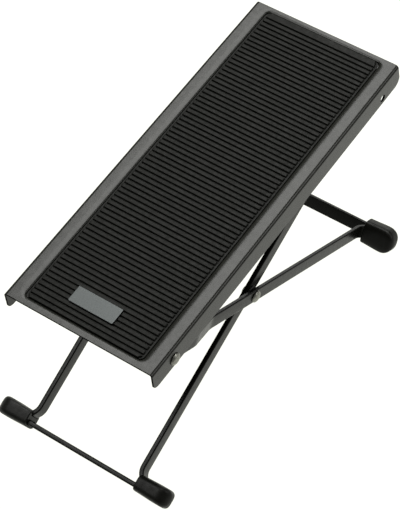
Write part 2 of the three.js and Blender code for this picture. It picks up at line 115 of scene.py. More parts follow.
# Crossed frames of flat bar
REAR_BAR_WIDTH = 10.0
REAR_BAR_THICKNESS = 3.0
FRONT_BAR_WIDTH = 11.0
FRONT_BAR_THICKNESS = 3.4
BAR_EDGE = 0.9
BAR_END_SWELL = 0.3
REAR_LEG_ANGLE = 32.1
FRONT_LEG_ANGLE = 21.6
PIVOT_TO_SCISSOR = 113.9
SCISSOR_TO_REAR_BAR = 161.0
SCISSOR_TO_FRONT_BAR = 143.8
SCISSOR_TO_ROD = 133.0
JOGGLE_START = 28.5
JOGGLE_LENGTH = 31.0
JOGGLE_BEND_LENGTH = 5.0
JOGGLE_INWARD = 5.2
FOOT_BEND_RADIUS = 8.0

# Feet, which begin this far outside their legs, swell from the mouth on and have squarish sections
REAR_FOOT_GAP = 1.2
FRONT_FOOT_GAP = 0.3
FOOT_LENGTH = 25.0
FOOT_MOUTH_WIDTH = 18.0
FOOT_MOUTH_THICKNESS = 11.8
FOOT_MOUTH_RADIUS = 0.8
FOOT_WIDTH = 19.2
FOOT_THICKNESS = 12.8
FOOT_TOWARD_LEG = 0.5
FOOT_SQUARENESS = 4.0
FOOT_TIP_LENGTH = 9.0
FOOT_TIP_FULLNESS = 2.0
FOOT_TIP_FLAT_LENGTH = 5.0
FOOT_TIP_FLAT_FULLNESS = 2.5
FOOT_TIP_WALL = 4.0

# A foot's hollow for the cross bar is this much wider than the one for the leg, so that no faces coincide
HOLLOW_STEP = 0.03

# Rivets and washers
RIVET_RADIUS = 2.5
RIVET_HOLE_RADIUS = RIVET_RADIUS + GAP
RIVET_HEAD_RADIUS = 4.4
RIVET_HEAD_HEIGHT = 2.0
RIVET_TAIL_RADIUS = 3.8
RIVET_TAIL_HEIGHT = 1.4
WASHER_RADIUS = 5.6
FLANGE_WASHER = 0.7
SCISSOR_WASHER = 1.2
WASHER_EDGE = 0.12

# Height rod, whose heads are as high as the washers between the legs, and its racks
ROD_RADIUS = 3.0
ROD_TENON_RADIUS = 2.0
ROD_HEAD_RADIUS = 3.6
ROD_HEAD_HEIGHT = SCISSOR_WASHER
ROD_HEAD_POWER = 0.6
RACK = 2.0
RACK_SPACING = 74.0
RACK_FLANGE_WIDTH = 12.0
RACK_INNER_RADIUS = 0.2
RACK_EDGE = 0.2
RACK_END_LAND = 5.0
NOTCH_COUNT = 5
NOTCH_PITCH = 10.5
NOTCH_DEPTH = 5.5
NOTCHES_BELOW_REST = 2

# How finely round shapes are stepped
ARC_STEPS = 12
HOLE_STEPS = 32
EDGE_STEPS = 3
BEND_STEPS = 8
RACK_BEND_STEPS = 5
FOOT_BEND_STEPS = 16
FILLET_STEPS = 6
LIP_STEPS = 14
RECESS_CORNER_STEPS = 10
BADGE_CORNER_STEPS = 6
MAT_COLUMNS = 8
FOOT_LIP_STEPS = 5
FOOT_BODY_STEPS = 10
FOOT_TIP_STEPS = 16
DOME_STEPS = 10
ROD_HEAD_STEPS = 8
SIDES = 64

# Edges that turn by more than these angles stay sharp
SHARP_ANGLE = 35
MAT_SHARP_ANGLE = 50
FOOT_SHARP_ANGLE = 40

# Faces across the part, on its right-hand side: the flange's inner one and the legs' outer ones
FLANGE_INNER_X = TREAD_WIDTH / 2 - SHEET
REAR_LEG_TOP_X = FLANGE_INNER_X - FLANGE_WASHER - 2 * GAP
REAR_LEG_X = REAR_LEG_TOP_X - JOGGLE_INWARD
FRONT_LEG_X = REAR_LEG_X - REAR_BAR_THICKNESS - SCISSOR_WASHER - 2 * GAP

# Places of the tread and of both frames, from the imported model's mount and joints
NORMAL = Vector(frame["record"]["mounts"][0]["axis"])
TILT = math.atan2(-NORMAL.y, NORMAL.z)
JOINT_AT = {joint["name"]: Vector(joint["pos_m"]) for joint in frame["joints"]}


def place_of(origin, angle):
    """The matrix that puts a piece drawn in millimetres at this origin, turned about X."""
    return Matrix.Translation(origin) @ Matrix.Rotation(angle, 4, "X") @ Matrix.Scale(MM, 4)


IN_TREAD = place_of(JOINT_AT["tread_fold"], TILT) @ Matrix.Translation((0, -PIVOT_Y, -PIVOT_Z))
IN_REAR = place_of(JOINT_AT["tread_fold"], TILT - math.radians(REAR_LEG_ANGLE))
IN_FRONT = place_of(JOINT_AT["frame_scissor"], TILT + math.radians(FRONT_LEG_ANGLE))


# Loops in a plane

def direction(degrees):
    """A step of length one at this angle."""
    angle = math.radians(degrees)
    return Vector((math.cos(angle), math.sin(angle)))


def arc(x, y, radius, start, end, steps=ARC_STEPS):
    """Points along an arc between two angles in degrees."""
    angles = [math.radians(start + (end - start) * k / steps) for k in range(steps + 1)]
    return [Vector((x + radius * math.cos(a), y + radius * math.sin(a))) for a in angles]


def circle(x, y, radius):
    """A hole's edge, clockwise, as every hole here runs."""
    return arc(x, y, radius, 360, 0, HOLE_STEPS)[:-1]


def rounded_rectangle(x0, y0, x1, y1, radius, steps):
    """A rectangle's outline with round corners, anticlockwise."""
    corners = [(x1, y1, -1, -1, 0), (x0, y1, 1, -1, 90), (x0, y0, 1, 1, 180), (x1, y0, -1, 1, 270)]
    loop = []
    for x, y, toward_x, toward_y, start in corners:
        loop += arc(x + toward_x * radius, y + toward_y * radius, radius, start, start + 90, steps)
    return loop


def moved_left(loop, distance):
    """A closed loop moved to its left: into the material, for outsides and holes alike."""
    moved = []
    for k, point in enumerate(loop):
        before = (point - loop[k - 1]).normalized()
        after = (loop[(k + 1) % len(loop)] - point).normalized()
        left = Vector((-before.y - after.y, before.x + after.x))
        moved.append(point + left * (distance / (1 + before.dot(after))))
    return moved


def split_at(loop, creases):
    """The loop with a point wherever it crosses a crease, a line of constant first coordinate."""
    split = []
    for k, start in enumerate(loop):
        end = loop[(k + 1) % len(loop)]
        split.append(start)
        low, high = sorted((start.x, end.x))
        crossed = sorted(c for c in creases if low + TINY < c < high - TINY)
        for crease in crossed if end.x > start.x else reversed(crossed):
            split.append(start.lerp(end, (crease - start.x) / (end.x - start.x)))
    return split


def is_inside(loops, x, y):
    """Whether a place is inside the first loop and outside the others, which are its holes."""
    crossings = 0
    for loop in loops:
        for k, a in enumerate(loop):
            b = loop[(k + 1) % len(loop)]
            if (a.y > y) != (b.y > y) and x < a.x + (y - a.y) * (b.x - a.x) / (b.y - a.y):
                crossings += 1
    return crossings % 2 == 1


def is_sliver(triangle):
    """Whether three corners lie in one line, as those of a straight edge's points do."""
    a, b, c = triangle
    longest = max((b - a).length, (c - b).length, (a - c).length)
    return abs((b - a).cross(c - a)) < TINY * longest


# Meshes

def fill(bm, loops, vertices, creases=(), flip=False):
    """Flat faces, cut along the creases, between an outer loop of vertices and the holes' loops."""
    places = [point for loop in loops for point in loop]
    corners = [vertex for row in vertices for vertex in row]
    edges = []
    first = 0
    for loop in loops:
        edges += [(first + k, first + (k + 1) % len(loop)) for k in range(len(loop))]
        first += len(loop)
    for crease in creases:
        on_it = [k for k, place in enumerate(places) if abs(place.x - crease) < TINY]
        on_it.sort(key=lambda k: places[k].y)
        edges += list(zip(on_it[::2], on_it[1::2]))
    found, _, faces, origins, _, _ = delaunay_2d_cdt(places, edges, [], 0, TINY / 10)
    for face in faces:
        middle = sum((found[k] for k in face), Vector((0, 0))) / len(face)
        if not is_sliver([found[k] for k in face]) and is_inside(loops, middle.x, middle.y):
            around = [corners[origins[k][0]] for k in face]
            bm.faces.new(reversed(around) if flip else around)


def bridge(bm, lower, upper):
    """A band of faces between two rows of vertices that run round the material."""
    for k, corner in enumerate(lower):
        after = (k + 1) % len(lower)
        bm.faces.new((corner, lower[after], upper[after], upper[k]))


def add_sheet(bm, outline, thickness, edge, fold, holes=(), creases=(), top_open=(), under_open=()):
    """A sheet with rounded edges, folded into place. Returns the open loops' vertices, if any.

    The fold takes a place on the flat sheet, and a height above its middle, to the folded one.
    """
    loops = [split_at(outline, creases), *holes]
    half = thickness / 2
    steps = [math.radians(90 * k / EDGE_STEPS) for k in range(EDGE_STEPS + 1)]
    under = [(edge * (1 - math.sin(a)), edge - half - edge * math.cos(a)) for a in steps]
    over = [(inset, -height) for inset, height in reversed(under)]
    rows = [[] for _ in loops]
    ends = []
    for number, loop in enumerate(loops):
        for inset, height in under + over:
            ring = moved_left(loop, inset)
            rows[number].append([bm.verts.new(fold(p.x, p.y, height)) for p in ring])
        for lower, upper in zip(rows[number], rows[number][1:]):
            bridge(bm, lower, upper)
        ends.append(moved_left(loop, edge))
    opened = []
    for level, extra, flip in ((half, top_open, False), (-half, under_open, True)):
        extra_rows = [[bm.verts.new(fold(p.x, p.y, level)) for p in loop] for loop in extra]
        flat_rows = [row[0] if flip else row[-1] for row in rows]
        fill(bm, [*ends, *extra], [*flat_rows, *extra_rows], creases, flip)
        opened += extra_rows
    return opened


def add_skin(bm, before, rings, after):
    """A closed skin over rings that follow each other along +X, with a point before and one after."""
    first = bm.verts.new(before)
    rows = [[bm.verts.new(point) for point in ring] for ring in rings]
    last = bm.verts.new(after)
    for lower, upper in zip(rows, rows[1:]):
        bridge(bm, lower, upper)
    for k in range(len(rows[0])):
        following = (k + 1) % len(rows[0])
        bm.faces.new((first, rows[0][following], rows[0][k]))
        bm.faces.new((rows[-1][k], rows[-1][following], last))


def turned_ring(x, radius, y):
    """Places all round a line along X at this Y."""
    angles = [2 * math.pi * k / SIDES for k in range(SIDES)]
    return [(x, y + radius * math.cos(a), radius * math.sin(a)) for a in angles]


def add_turned(bm, profile, y):
    """A round piece along X, from a profile of (X, radius) whose two ends lie on its middle line."""
    rings = [turned_ring(x, radius, y) for x, radius in profile[1:-1]]
    add_skin(bm, (profile[0][0], y, 0), rings, (profile[-1][0], y, 0))


def add_ring(bm, section, y):
    """A round piece along X with a hole through it, from a closed section of (X, radius)."""
    rows = [[bm.verts.new(point) for point in turned_ring(x, radius, y)] for x, radius in section]
    for low, high in zip(rows, rows[1:] + rows[:1]):
        bridge(bm, low, high)


# Materials

# The part of a noise's range over which a look goes from its low value to its high one
RAMP_START = 0.3
RAMP_END = 0.7


class Look:
    """A principled material, with helpers for its colour, roughness and bumps."""

    def __init__(self, name, roughness, metallic=0.0, specular=0.5):
        self.material = bpy.data.materials.new(name)
        self.material.use_nodes = True
        self.nodes = self.material.node_tree.nodes
        self.links = self.material.node_tree.links
        self.shader = self.nodes["Principled BSDF"]
        self.shader.inputs["Roughness"].default_value = roughness
        self.shader.inputs["Metallic"].default_value = metallic
        self.shader.inputs["Specular IOR Level"].default_value = specular
        self.place = self.nodes.new("ShaderNodeTexCoord").outputs["Object"]

    def noise(self, size_mm, detail=2.0, roughness=0.5, stretch=(1, 1, 1)):
        """Noise whose grains are about this many millimetres across."""
        mapping = self.nodes.new("ShaderNodeMapping")
        mapping.inputs["Scale"].default_value = stretch
        self.links.new(self.place, mapping.inputs["Vector"])
        noise = self.nodes.new("ShaderNodeTexNoise")
        noise.inputs["Scale"].default_value = 1 / (size_mm * MM)
        noise.inputs["Detail"].default_value = detail
        noise.inputs["Roughness"].default_value = roughness
        self.links.new(mapping.outputs["Vector"], noise.inputs["Vector"])
        return noise.outputs["Fac"]

    def between(self, factor, low, high):
        """A value or colour that goes from low to high with the factor."""
        ramp = self.nodes.new("ShaderNodeValToRGB")
        ramp.color_ramp.elements[0].position = RAMP_START
        ramp.color_ramp.elements[1].position = RAMP_END
        for element, value in zip(ramp.color_ramp.elements, (low, high)):
            element.color = (*value, 1) if isinstance(value, tuple) else (value, value, value, 1)
        self.links.new(factor, ramp.inputs["Fac"])
        return ramp.outputs["Color"]

    def colour(self, socket):
        self.links.new(socket, self.shader.inputs["Base Color"])

    def roughness(self, socket):
        self.links.new(socket, self.shader.inputs["Roughness"])

    def bumps(self, *layers):
        """Bumps from (height, depth in millimetres) layers, coarse to fine."""
        normal = None
        for height, depth in layers:
            bump = self.nodes.new("ShaderNodeBump")
            bump.inputs["Strength"].default_value = 1.0
            bump.inputs["Distance"].default_value = depth * MM
            self.links.new(height, bump.inputs["Height"])
            if normal is not None:
                self.links.new(normal, bump.inputs["Normal"])
            normal = bump.outputs["Normal"]
        self.links.new(normal, self.shader.inputs["Normal"])


def tread_paint():
    """Satin dark grey powder coat with fine orange peel."""
    look = Look("satin_grey_paint", 0.25, specular=0.16)
    look.colour(look.between(look.noise(18), (0.0066, 0.0068, 0.0055), (0.0085, 0.0088, 0.0071)))
    look.roughness(look.between(look.noise(3.5, 4), 0.22, 0.29))
    look.bumps((look.noise(1.6, 2), 0.006), (look.noise(0.45, 2), 0.002))
    return look.material


def dull_coat_with_painted_shade():
    """The same coat, duller, for faces that look along Y; its darker colour is painted shade."""
    look = Look("dull_paint_with_painted_shade", 0.7, specular=0.02)
    # Painted shade: a darker colour than the tread's coat
    look.colour(look.between(look.noise(6), (0.0025, 0.0025, 0.0022), (0.0045, 0.0045, 0.0040)))
    look.roughness(look.between(look.noise(1.5, 4), 0.6, 0.8))
    look.bumps((look.noise(0.45, 2), 0.01))
    return look.material


def frame_paint():
    """Satin black paint on the bars and racks."""
    look = Look("satin_black_paint", 0.28, specular=0.1)
    look.colour(look.between(look.noise(12), (0.0020, 0.0021, 0.0016), (0.0032, 0.0033, 0.0026)))
    look.roughness(look.between(look.noise(3, 4), 0.24, 0.33))
    look.bumps((look.noise(1.4, 2), 0.01), (look.noise(0.4, 2), 0.003))
    return look.material


def mat_rubber():
    """Matt black rubber with a fine grain, a little lighter in patches."""
    look = Look("ribbed_mat_rubber", 0.5, specular=0.07)
    look.colour(look.between(look.noise(7, 5, 0.65), (0.0018, 0.0020, 0.0014), (0.0040, 0.0042, 0.0033)))
    look.roughness(look.between(look.noise(2.5, 3), 0.42, 0.56))
    look.bumps((look.noise(0.55, 3, 0.6), 0.035))
    return look.material


def foot_rubber():
    """Moulded black rubber with a soft sheen."""
    look = Look("moulded_foot_rubber", 0.5, specular=0.12)
    look.colour(look.between(look.noise(9, 4), (0.0020, 0.0021, 0.0015), (0.0034, 0.0035, 0.0026)))
    look.roughness(look.between(look.noise(3, 4), 0.38, 0.50))
    look.bumps((look.noise(2.2, 3), 0.03), (look.noise(0.5, 3), 0.008))
    return look.material


def badge_metal():
    """Satin metal, brushed along the badge."""
    look = Look("satin_badge_metal", 0.36, metallic=1.0)
    streaks = look.noise(0.35, 3, 0.6, stretch=(0.04, 1, 1))
    look.colour(look.between(streaks, (0.022, 0.0235, 0.0235), (0.031, 0.0335, 0.0335)))
    look.roughness(look.between(streaks, 0.30, 0.42))
    look.bumps((streaks, 0.004))
    return look.material


def rivet_steel():
    """Dark plated steel, a little stained."""
    look = Look("dark_plated_steel", 0.4, metallic=0.85)
    look.colour(look.between(look.noise(1.6, 4), (0.150, 0.150, 0.130), (0.240, 0.240, 0.215)))
    look.roughness(look.between(look.noise(0.9, 3), 0.34, 0.5))
    look.bumps((look.noise(1.2, 3), 0.02))
    return look.material


def washer_nylon():
    """Black nylon, nearly smooth."""
    look = Look("black_nylon", 0.5, specular=0.4)
    look.colour(look.between(look.noise(2, 3), (0.016, 0.016, 0.015), (0.024, 0.024, 0.022)))
    look.bumps((look.noise(0.5, 2), 0.006))
    return look.material


LOOKS = {
    "tread_paint": tread_paint(),
    "frame_paint": frame_paint(),
    "mat_rubber": mat_rubber(),
    "foot_rubber": foot_rubber(),
    "badge_metal": badge_metal(),
    "rivet_steel": rivet_steel(),
    "washer_nylon": washer_nylon(),
}


# Showing a piece

def mesh_of(name, place, mirror, build, *details):
    """The mesh that a builder draws from these details, in its place, or mirrored to the left."""
    bm = bmesh.new()
    build(bm, *details)
    if mirror:
        bmesh.ops.scale(bm, vec=(-1, 1, 1), verts=bm.verts)
        bmesh.ops.reverse_faces(bm, faces=bm.faces)
    bmesh.ops.transform(bm, matrix=place, verts=bm.verts)
    mesh = bpy.data.meshes.new(name)
    bm.to_mesh(mesh)
    bm.free()
    return mesh


def show(mesh, node, body, slot, sharp):
    """The visible piece that stands for a solid."""
    mesh.polygons.foreach_set("use_smooth", [True] * len(mesh.polygons))
    mesh.set_sharp_from_angle(angle=math.radians(sharp))
    mesh.materials.append(LOOKS[slot])
    piece = bpy.data.objects.new(mesh.name, mesh)
    bpy.context.scene.collection.objects.link(piece)
    weighted = piece.modifiers.new("even normals", "WEIGHTED_NORMAL")
    weighted.keep_sharp = True
    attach(piece, body)
    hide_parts(node)
    return piece


def show_node(node, body, slot, place, build, *details, mirror=False, sharp=SHARP_ANGLE):
    """One node's visible piece."""
    mesh = mesh_of(f"{node}_detail", place, mirror, build, *details)
    return show(mesh, node, body, slot, sharp)


# The sides of a pair, which is drawn on the right, and whether each is mirrored
PAIR = (("right", False), ("left", True))


def show_pair(name, body, slot, place, build, *details):
    """A right and a left node's visible pieces."""
    for side, mirror in PAIR:
        show_node(f"{name}_{side}", body, slot, place, build, *details, mirror=mirror)


# Tread

BEND_RADIUS = BEND_INNER_RADIUS + SHEET
BEND_X = TREAD_WIDTH / 2 - BEND_RADIUS
MID_BEND_RADIUS = BEND_INNER_RADIUS + SHEET / 2
BEND_LENGTH = MID_BEND_RADIUS * math.pi / 2


def fold_flanges(a, b, h):
    """From the flat blank to the pressed channel: a runs across it, b along it and h upward."""
    past = abs(a) - BEND_X
    if past <= 0:
        return (a, b, h - SHEET / 2)
    turn = min(past / MID_BEND_RADIUS, math.pi / 2)
    radius = MID_BEND_RADIUS + h
    x = BEND_X + radius * math.sin(turn)
    z = radius * math.cos(turn) - BEND_RADIUS - max(past - BEND_LENGTH, 0)
    return (math.copysign(x, a), b, z)


def on_flange(below_tread):
    """How far out on the flat blank a place on the flange lies."""
    return BEND_X + BEND_LENGTH + below_tread - BEND_RADIUS


def recess_loop(outset, end_share=1.0):
    """The recess's outline, clockwise, moved outward by this much, or by a share of that at its ends."""
    half = RECESS_WIDTH / 2 + outset
    end_outset = outset * end_share
    low = RECESS_LOW_MARGIN - end_outset
    high = TREAD_LENGTH - RECESS_HIGH_MARGIN + end_outset
    radius = RECESS_CORNER_RADIUS + outset
    return rounded_rectangle(-half, low, half, high, radius, RECESS_CORNER_STEPS)[::-1]


def plate_blank():
    """The flat blank's outline. The flanges lean outward at the high end and deepen from the low one."""
    radius = HIGH_CORNER_RADIUS
    corner_a = on_flange(FLANGE_DEPTH) - radius
    lean_a = on_flange(BEND_RADIUS + LEAN_BELOW_BEND)
    high = TREAD_LENGTH + HIGH_END_LEAN - radius
    low_a = on_flange(LOW_END_DEPTH) - LOW_CORNER_RISE
    corner = arc(0, 0, 1, 270, 360)
    right = [Vector((low_a + LOW_CORNER_RISE * p.x, LOW_CORNER_LENGTH * (1 + p.y))) for p in corner]
    right.append(Vector((on_flange(FLANGE_DEPTH), DEEPENING_LENGTH)))
    right += arc(corner_a, high, radius, 0, 90)
    right.append(Vector((lean_a, TREAD_LENGTH)))
    return right + [Vector((-point.x, point.y)) for point in reversed(right)]


def plate_holes():
    """The rivet's hole and the open hole of each flange, on the flat blank."""
    holes = []
    for side in (1, -1):
        holes.append(circle(side * on_flange(-PIVOT_Z), PIVOT_Y, RIVET_HOLE_RADIUS))
        spare_y = TREAD_LENGTH - SPARE_HOLE_TO_END
        holes.append(circle(side * on_flange(SPARE_HOLE_DEPTH), spare_y, SPARE_HOLE_RADIUS))
    return holes


def recess_section():
    """The recess from above, as (outset, height): a soft lip, and a fillet down to the floor."""
    lip = arc(0, 0, 1, 90, 180, LIP_STEPS)
    section = [Vector((LIP_WIDTH * (1 + p.x), LIP_DROP * (p.y - 1))) for p in lip]
    return section + arc(-FLOOR_FILLET, FLOOR_FILLET - RECESS_DEPTH, FLOOR_FILLET, 0, -90, FILLET_STEPS)


def tray_section():
    """The same recess from below, where it stands out as a tray."""
    corner = SHEET + TRAY_FILLET
    floor = -RECESS_DEPTH - SHEET
    section = arc(corner, -corner, TRAY_FILLET, 90, 180, FILLET_STEPS)
    return section + arc(SHEET - TRAY_RADIUS, floor + TRAY_RADIUS, TRAY_RADIUS, 0, -90, FILLET_STEPS)


def add_recess_face(bm, row, section, below):
    """One face of the recess, from an open row of the sheet along a section to its floor."""
    for outset, z in section[1:]:
        end_share = END_LIP_SHARE if outset > 0 and not below else 1.0
        loop = recess_loop(outset, end_share)
        ring = [bm.verts.new((p.x, p.y, z)) for p in loop]
        if below:
            bridge(bm, row, ring)
        else:
            bridge(bm, ring, row)
        row = ring
    fill(bm, [loop], [row], flip=below)


def add_tread_plate(bm):
    """The pressed sheet: a channel with round bends, holes in its flanges and the mat's recess."""
    bends = [BEND_X + BEND_LENGTH * k / BEND_STEPS for k in range(BEND_STEPS + 1)]
    creases = sorted([-bend for bend in bends] + bends)
    above = recess_section()
    below = tray_section()
    above_row, below_row = add_sheet(
        bm, plate_blank(), SHEET, SHEET_EDGE, fold_flanges, plate_holes(), creases,
        top_open=[recess_loop(LIP_WIDTH, END_LIP_SHARE)], under_open=[recess_loop(below[0].x)])
    add_recess_face(bm, above_row, above, False)
    add_recess_face(bm, below_row, below, True)


# Mat and badge

MAT_FLOOR = GAP - RECESS_DEPTH
GROOVE_BOTTOM = MAT_FLOOR + MAT_BASE
MAT_TOP = GROOVE_BOTTOM + GROOVE_DEPTH


def mat_profile(low, high):
    """(distance along the mat, height) over its ribs, from the low end to the high end."""
    # A rib's round shoulder, as (inset from its side, drop from its top)
    falling = [(RIB_SHOULDER * (1 - math.sin(a)), RIB_SHOULDER * (math.cos(a) - 1))
               for a in (math.radians(90 * k / EDGE_STEPS) for k in range(EDGE_STEPS + 1))]
    rising = falling[::-1]
    middles = []
    middle = high - FIRST_GROOVE
    while middle > low + LAST_RIB_LEAST:
        middles.append(middle)
        middle -= RIB_PITCH
    profile = [(low, GROOVE_BOTTOM)]
    profile += [(low + inset, MAT_TOP + drop) for inset, drop in rising]
    half_mouth = GROOVE_MOUTH / 2
    half_floor = GROOVE_FLOOR / 2
    for middle in reversed(middles):
        rib_end = middle - half_mouth
        rib_start = middle + half_mouth
        profile += [(rib_end - inset, MAT_TOP + drop) for inset, drop in falling]
        profile += [(middle - half_floor, GROOVE_BOTTOM), (middle + half_floor, GROOVE_BOTTOM)]
        profile += [(rib_start + inset, MAT_TOP + drop) for inset, drop in rising]
    profile += [(high - inset, MAT_TOP + drop) for inset, drop in falling]
    profile += [(high, GROOVE_BOTTOM)]
    return profile


def add_tread_mat(bm):
    """The ribbed mat, whose ribs end short of its sides in round shoulders."""
    low = RECESS_LOW_MARGIN + MAT_SIDE_GAP
    high = TREAD_LENGTH - RECESS_HIGH_MARGIN - MAT_SIDE_GAP
    half = RECESS_WIDTH / 2 - MAT_SIDE_GAP
    corner = RECESS_CORNER_RADIUS - MAT_SIDE_GAP
    profile = mat_profile(low, high)
    ends = [(0.0, 0.0), (RIB_INSET, 0.0)]
    for k in range(1, EDGE_STEPS + 2):
        angle = math.radians(90 * k / (EDGE_STEPS + 1))
        ends.append((RIB_INSET + RIB_END_ROUND * (1 - math.cos(angle)), math.sin(angle)))
    rows = []
    for y, z in profile:
        from_end = min(y - low, high - y)
        reach = half
        if from_end < corner:
            reach = half - corner + math.sqrt(max(corner**2 - (corner - from_end) ** 2, 0))
        left = [(-reach + inset, share) for inset, share in ends]
        inner = reach - ends[-1][0]
        flat = [(-inner + 2 * inner * k / MAT_COLUMNS, 1.0) for k in range(1, MAT_COLUMNS)]
        right = [(-x, share) for x, share in reversed(left)]
        columns = left + flat + right
        rows.append([bm.verts.new((x, y, GROOVE_BOTTOM + (z - GROOVE_BOTTOM) * s)) for x, s in columns])
    for row, after in zip(rows, rows[1:]):
        for k in range(len(row) - 1):
            bm.faces.new((row[k], row[k + 1], after[k + 1], after[k]))
    border = rows[0] + [row[-1] for row in rows[1:-1]] + rows[-1][::-1] + [row[0] for row in rows[-2:0:-1]]
    floor = [bm.verts.new((vertex.co.x, vertex.co.y, MAT_FLOOR)) for vertex in border]
    bridge(bm, floor, border)
    bm.faces.new(reversed(floor))


def add_badge(bm):
    """A blank plate with rounded edges, which lies on the mat."""
    x, y = BADGE_MIDDLE
    middle_z = MAT_TOP + GAP + BADGE_THICKNESS / 2
    outline = rounded_rectangle(
        x - BADGE_WIDTH / 2, y - BADGE_LENGTH / 2, x + BADGE_WIDTH / 2, y + BADGE_LENGTH / 2,
        BADGE_CORNER_RADIUS, BADGE_CORNER_STEPS)
    add_sheet(bm, outline, BADGE_THICKNESS, BADGE_EDGE, lambda a, b, h: (a, b, middle_z + h))


# Racks

def notched_edge():
    """A rack's lower edge, with a notch for each height on the rod's path, in the tread's Y and Z."""
    pivot = Vector((PIVOT_Y, PIVOT_Z))
    scissor = pivot + PIVOT_TO_SCISSOR * direction(-REAR_LEG_ANGLE)
    rod = scissor + SCISSOR_TO_ROD * direction(FRONT_LEG_ANGLE)
    line = rod - pivot
    turn = Matrix.Rotation(math.atan2(line.y, line.x), 2)
    teeth = ROD_RADIUS + ROD_GAP
    notch_radius = ROD_RADIUS + GAP
    first = line.length - NOTCHES_BELOW_REST * NOTCH_PITCH
    last = first + (NOTCH_COUNT - 1) * NOTCH_PITCH
    edge = [Vector((first - notch_radius - RACK_END_LAND, teeth))]
    for number in range(NOTCH_COUNT):
        middle = first + number * NOTCH_PITCH
        edge.append(Vector((middle - notch_radius, teeth)))
        edge += arc(middle, teeth + NOTCH_DEPTH - notch_radius, notch_radius, 180, 0)
        edge.append(Vector((middle + notch_radius, teeth)))
    edge.append(Vector((last + notch_radius + RACK_END_LAND, teeth)))
    return [turn @ point + pivot for point in edge]


def add_rack(bm):
    """An angle strip under the tread, with a notched web."""
    top = -RECESS_DEPTH - SHEET - GAP
    web_x = RACK_SPACING / 2 + RACK / 2
    radius = RACK_INNER_RADIUS + RACK / 2
    bend_start = RACK_FLANGE_WIDTH - RACK_INNER_RADIUS - RACK
    bend_length = radius * math.pi / 2
    web_start = bend_start + bend_length
    bend_top = top - RACK - RACK_INNER_RADIUS

    def fold(a, b, h):
        past = a - bend_start
        if past <= 0:
            return (web_x - RACK_FLANGE_WIDTH + a, b, top - RACK / 2 + h)
        angle = min(past / radius, math.pi / 2)
        x = web_x - RACK - RACK_INNER_RADIUS + (radius + h) * math.sin(angle)
        z = bend_top + (radius + h) * math.cos(angle) - max(past - bend_length, 0)
        return (x, b, z)

    edge = notched_edge()
    outline = [Vector((web_start + bend_top - point.y, point.x)) for point in edge]
    outline += [Vector((0, edge[-1].x)), Vector((0, edge[0].x))]
    creases = [bend_start + bend_length * k / RACK_BEND_STEPS for k in range(RACK_BEND_STEPS + 1)]
    add_sheet(bm, outline, RACK, RACK_EDGE, fold, creases=creases)


# Frames, each drawn with Y along its legs

class Legs(NamedTuple):
    """A frame's two legs of flat bar, and where its cross bar and feet lie.

    The right leg's outer face is at outer_x, and the feet begin foot_gap outside it. The leg's bent end
    faces the cross bar at cross_bar_y, which is away from the hinge toward +Y for 1 and -Y for -1.
    """

    body: str
    place: Matrix
    width: float
    thickness: float
    outer_x: float
    foot_gap: float
    cross_bar_y: float
    away: int


REAR = Legs(
    body="rear_frame", place=IN_REAR, width=REAR_BAR_WIDTH, thickness=REAR_BAR_THICKNESS,
    outer_x=REAR_LEG_X, foot_gap=REAR_FOOT_GAP,
    cross_bar_y=PIVOT_TO_SCISSOR + SCISSOR_TO_REAR_BAR, away=1)
FRONT = Legs(
    body="front_frame", place=IN_FRONT, width=FRONT_BAR_WIDTH, thickness=FRONT_BAR_THICKNESS,
    outer_x=FRONT_LEG_X, foot_gap=FRONT_FOOT_GAP,
    cross_bar_y=-SCISSOR_TO_FRONT_BAR, away=-1)


class Path:
    """A bar's middle line in X and Y, which folds a flat bar along itself.

    Distances along it are counted from this far after its start, where the bar's first hole is.
    """

    def __init__(self, points, before):
        self.points = points
        self.at = [-before]
        for start, end in zip(points, points[1:]):
            self.at.append(self.at[-1] + (end - start).length)
        self.sides = []
        last = len(points) - 1
        for k in range(len(points)):
            steps = [(points[j + 1] - points[j]).normalized() for j in (k - 1, k) if 0 <= j < last]
            first, second = steps[0], steps[-1]
            side = Vector((first.y + second.y, -first.x - second.x))
            self.sides.append(side / (1 + first.dot(second)))

    def fold(self, a, b, h):
        """From the flat bar to the bent one: a runs along it, b across it and h to its right."""
        k = max(j for j in range(len(self.at) - 1) if j == 0 or self.at[j] <= a + TINY)
        share = (a - self.at[k]) / (self.at[k + 1] - self.at[k])
        start = self.points[k] + h * self.sides[k]
        end = self.points[k + 1] + h * self.sides[k + 1]
        point = start.lerp(end, share)
        return (point.x, point.y, b)

    def distance_to(self, y):
        """How far along the bar it first passes this Y."""
        for k, (start, end) in enumerate(zip(self.points, self.points[1:])):
            if min(start.y, end.y) <= y <= max(start.y, end.y):
                share = (y - start.y) / (end.y - start.y)
                return self.at[k] + share * (self.at[k + 1] - self.at[k])
        raise ValueError(y)


def end_radius(width):
    """The radius of a bar's round end, a little more than half its width."""
    return width / 2 + BAR_END_SWELL


def footed_end(legs):
    """How far out the legs' bent ends and the cross bar's ends reach inside their feet."""
    return legs.outer_x + legs.foot_gap + FOOT_LENGTH - FOOT_TIP_WALL


def bent_end(legs, spare):
    """The end of a leg that turns outward and runs along the cross bar's inner face."""
    half = legs.thickness / 2
    radius = FOOT_BEND_RADIUS + half
    turn_y = legs.cross_bar_y - legs.away * (radius + half)
    turn = arc(legs.outer_x - half + radius, 0, radius, 180, 90, FOOT_BEND_STEPS)
    points = [Vector((point.x, turn_y + legs.away * point.y)) for point in turn]
    return points + [Vector((footed_end(legs) + spare, points[-1].y))]


def joggle_ease(share):
    """The joggle's way inward at a share of its length: a bend, a straight run and a bend back."""
    bend_share = JOGGLE_BEND_LENGTH / JOGGLE_LENGTH
    from_end = min(share, 1 - share)
    way = from_end ** 2 / (2 * bend_share) if from_end < bend_share else from_end - bend_share / 2
    way /= 1 - bend_share
    return way if share < 0.5 else 1 - way


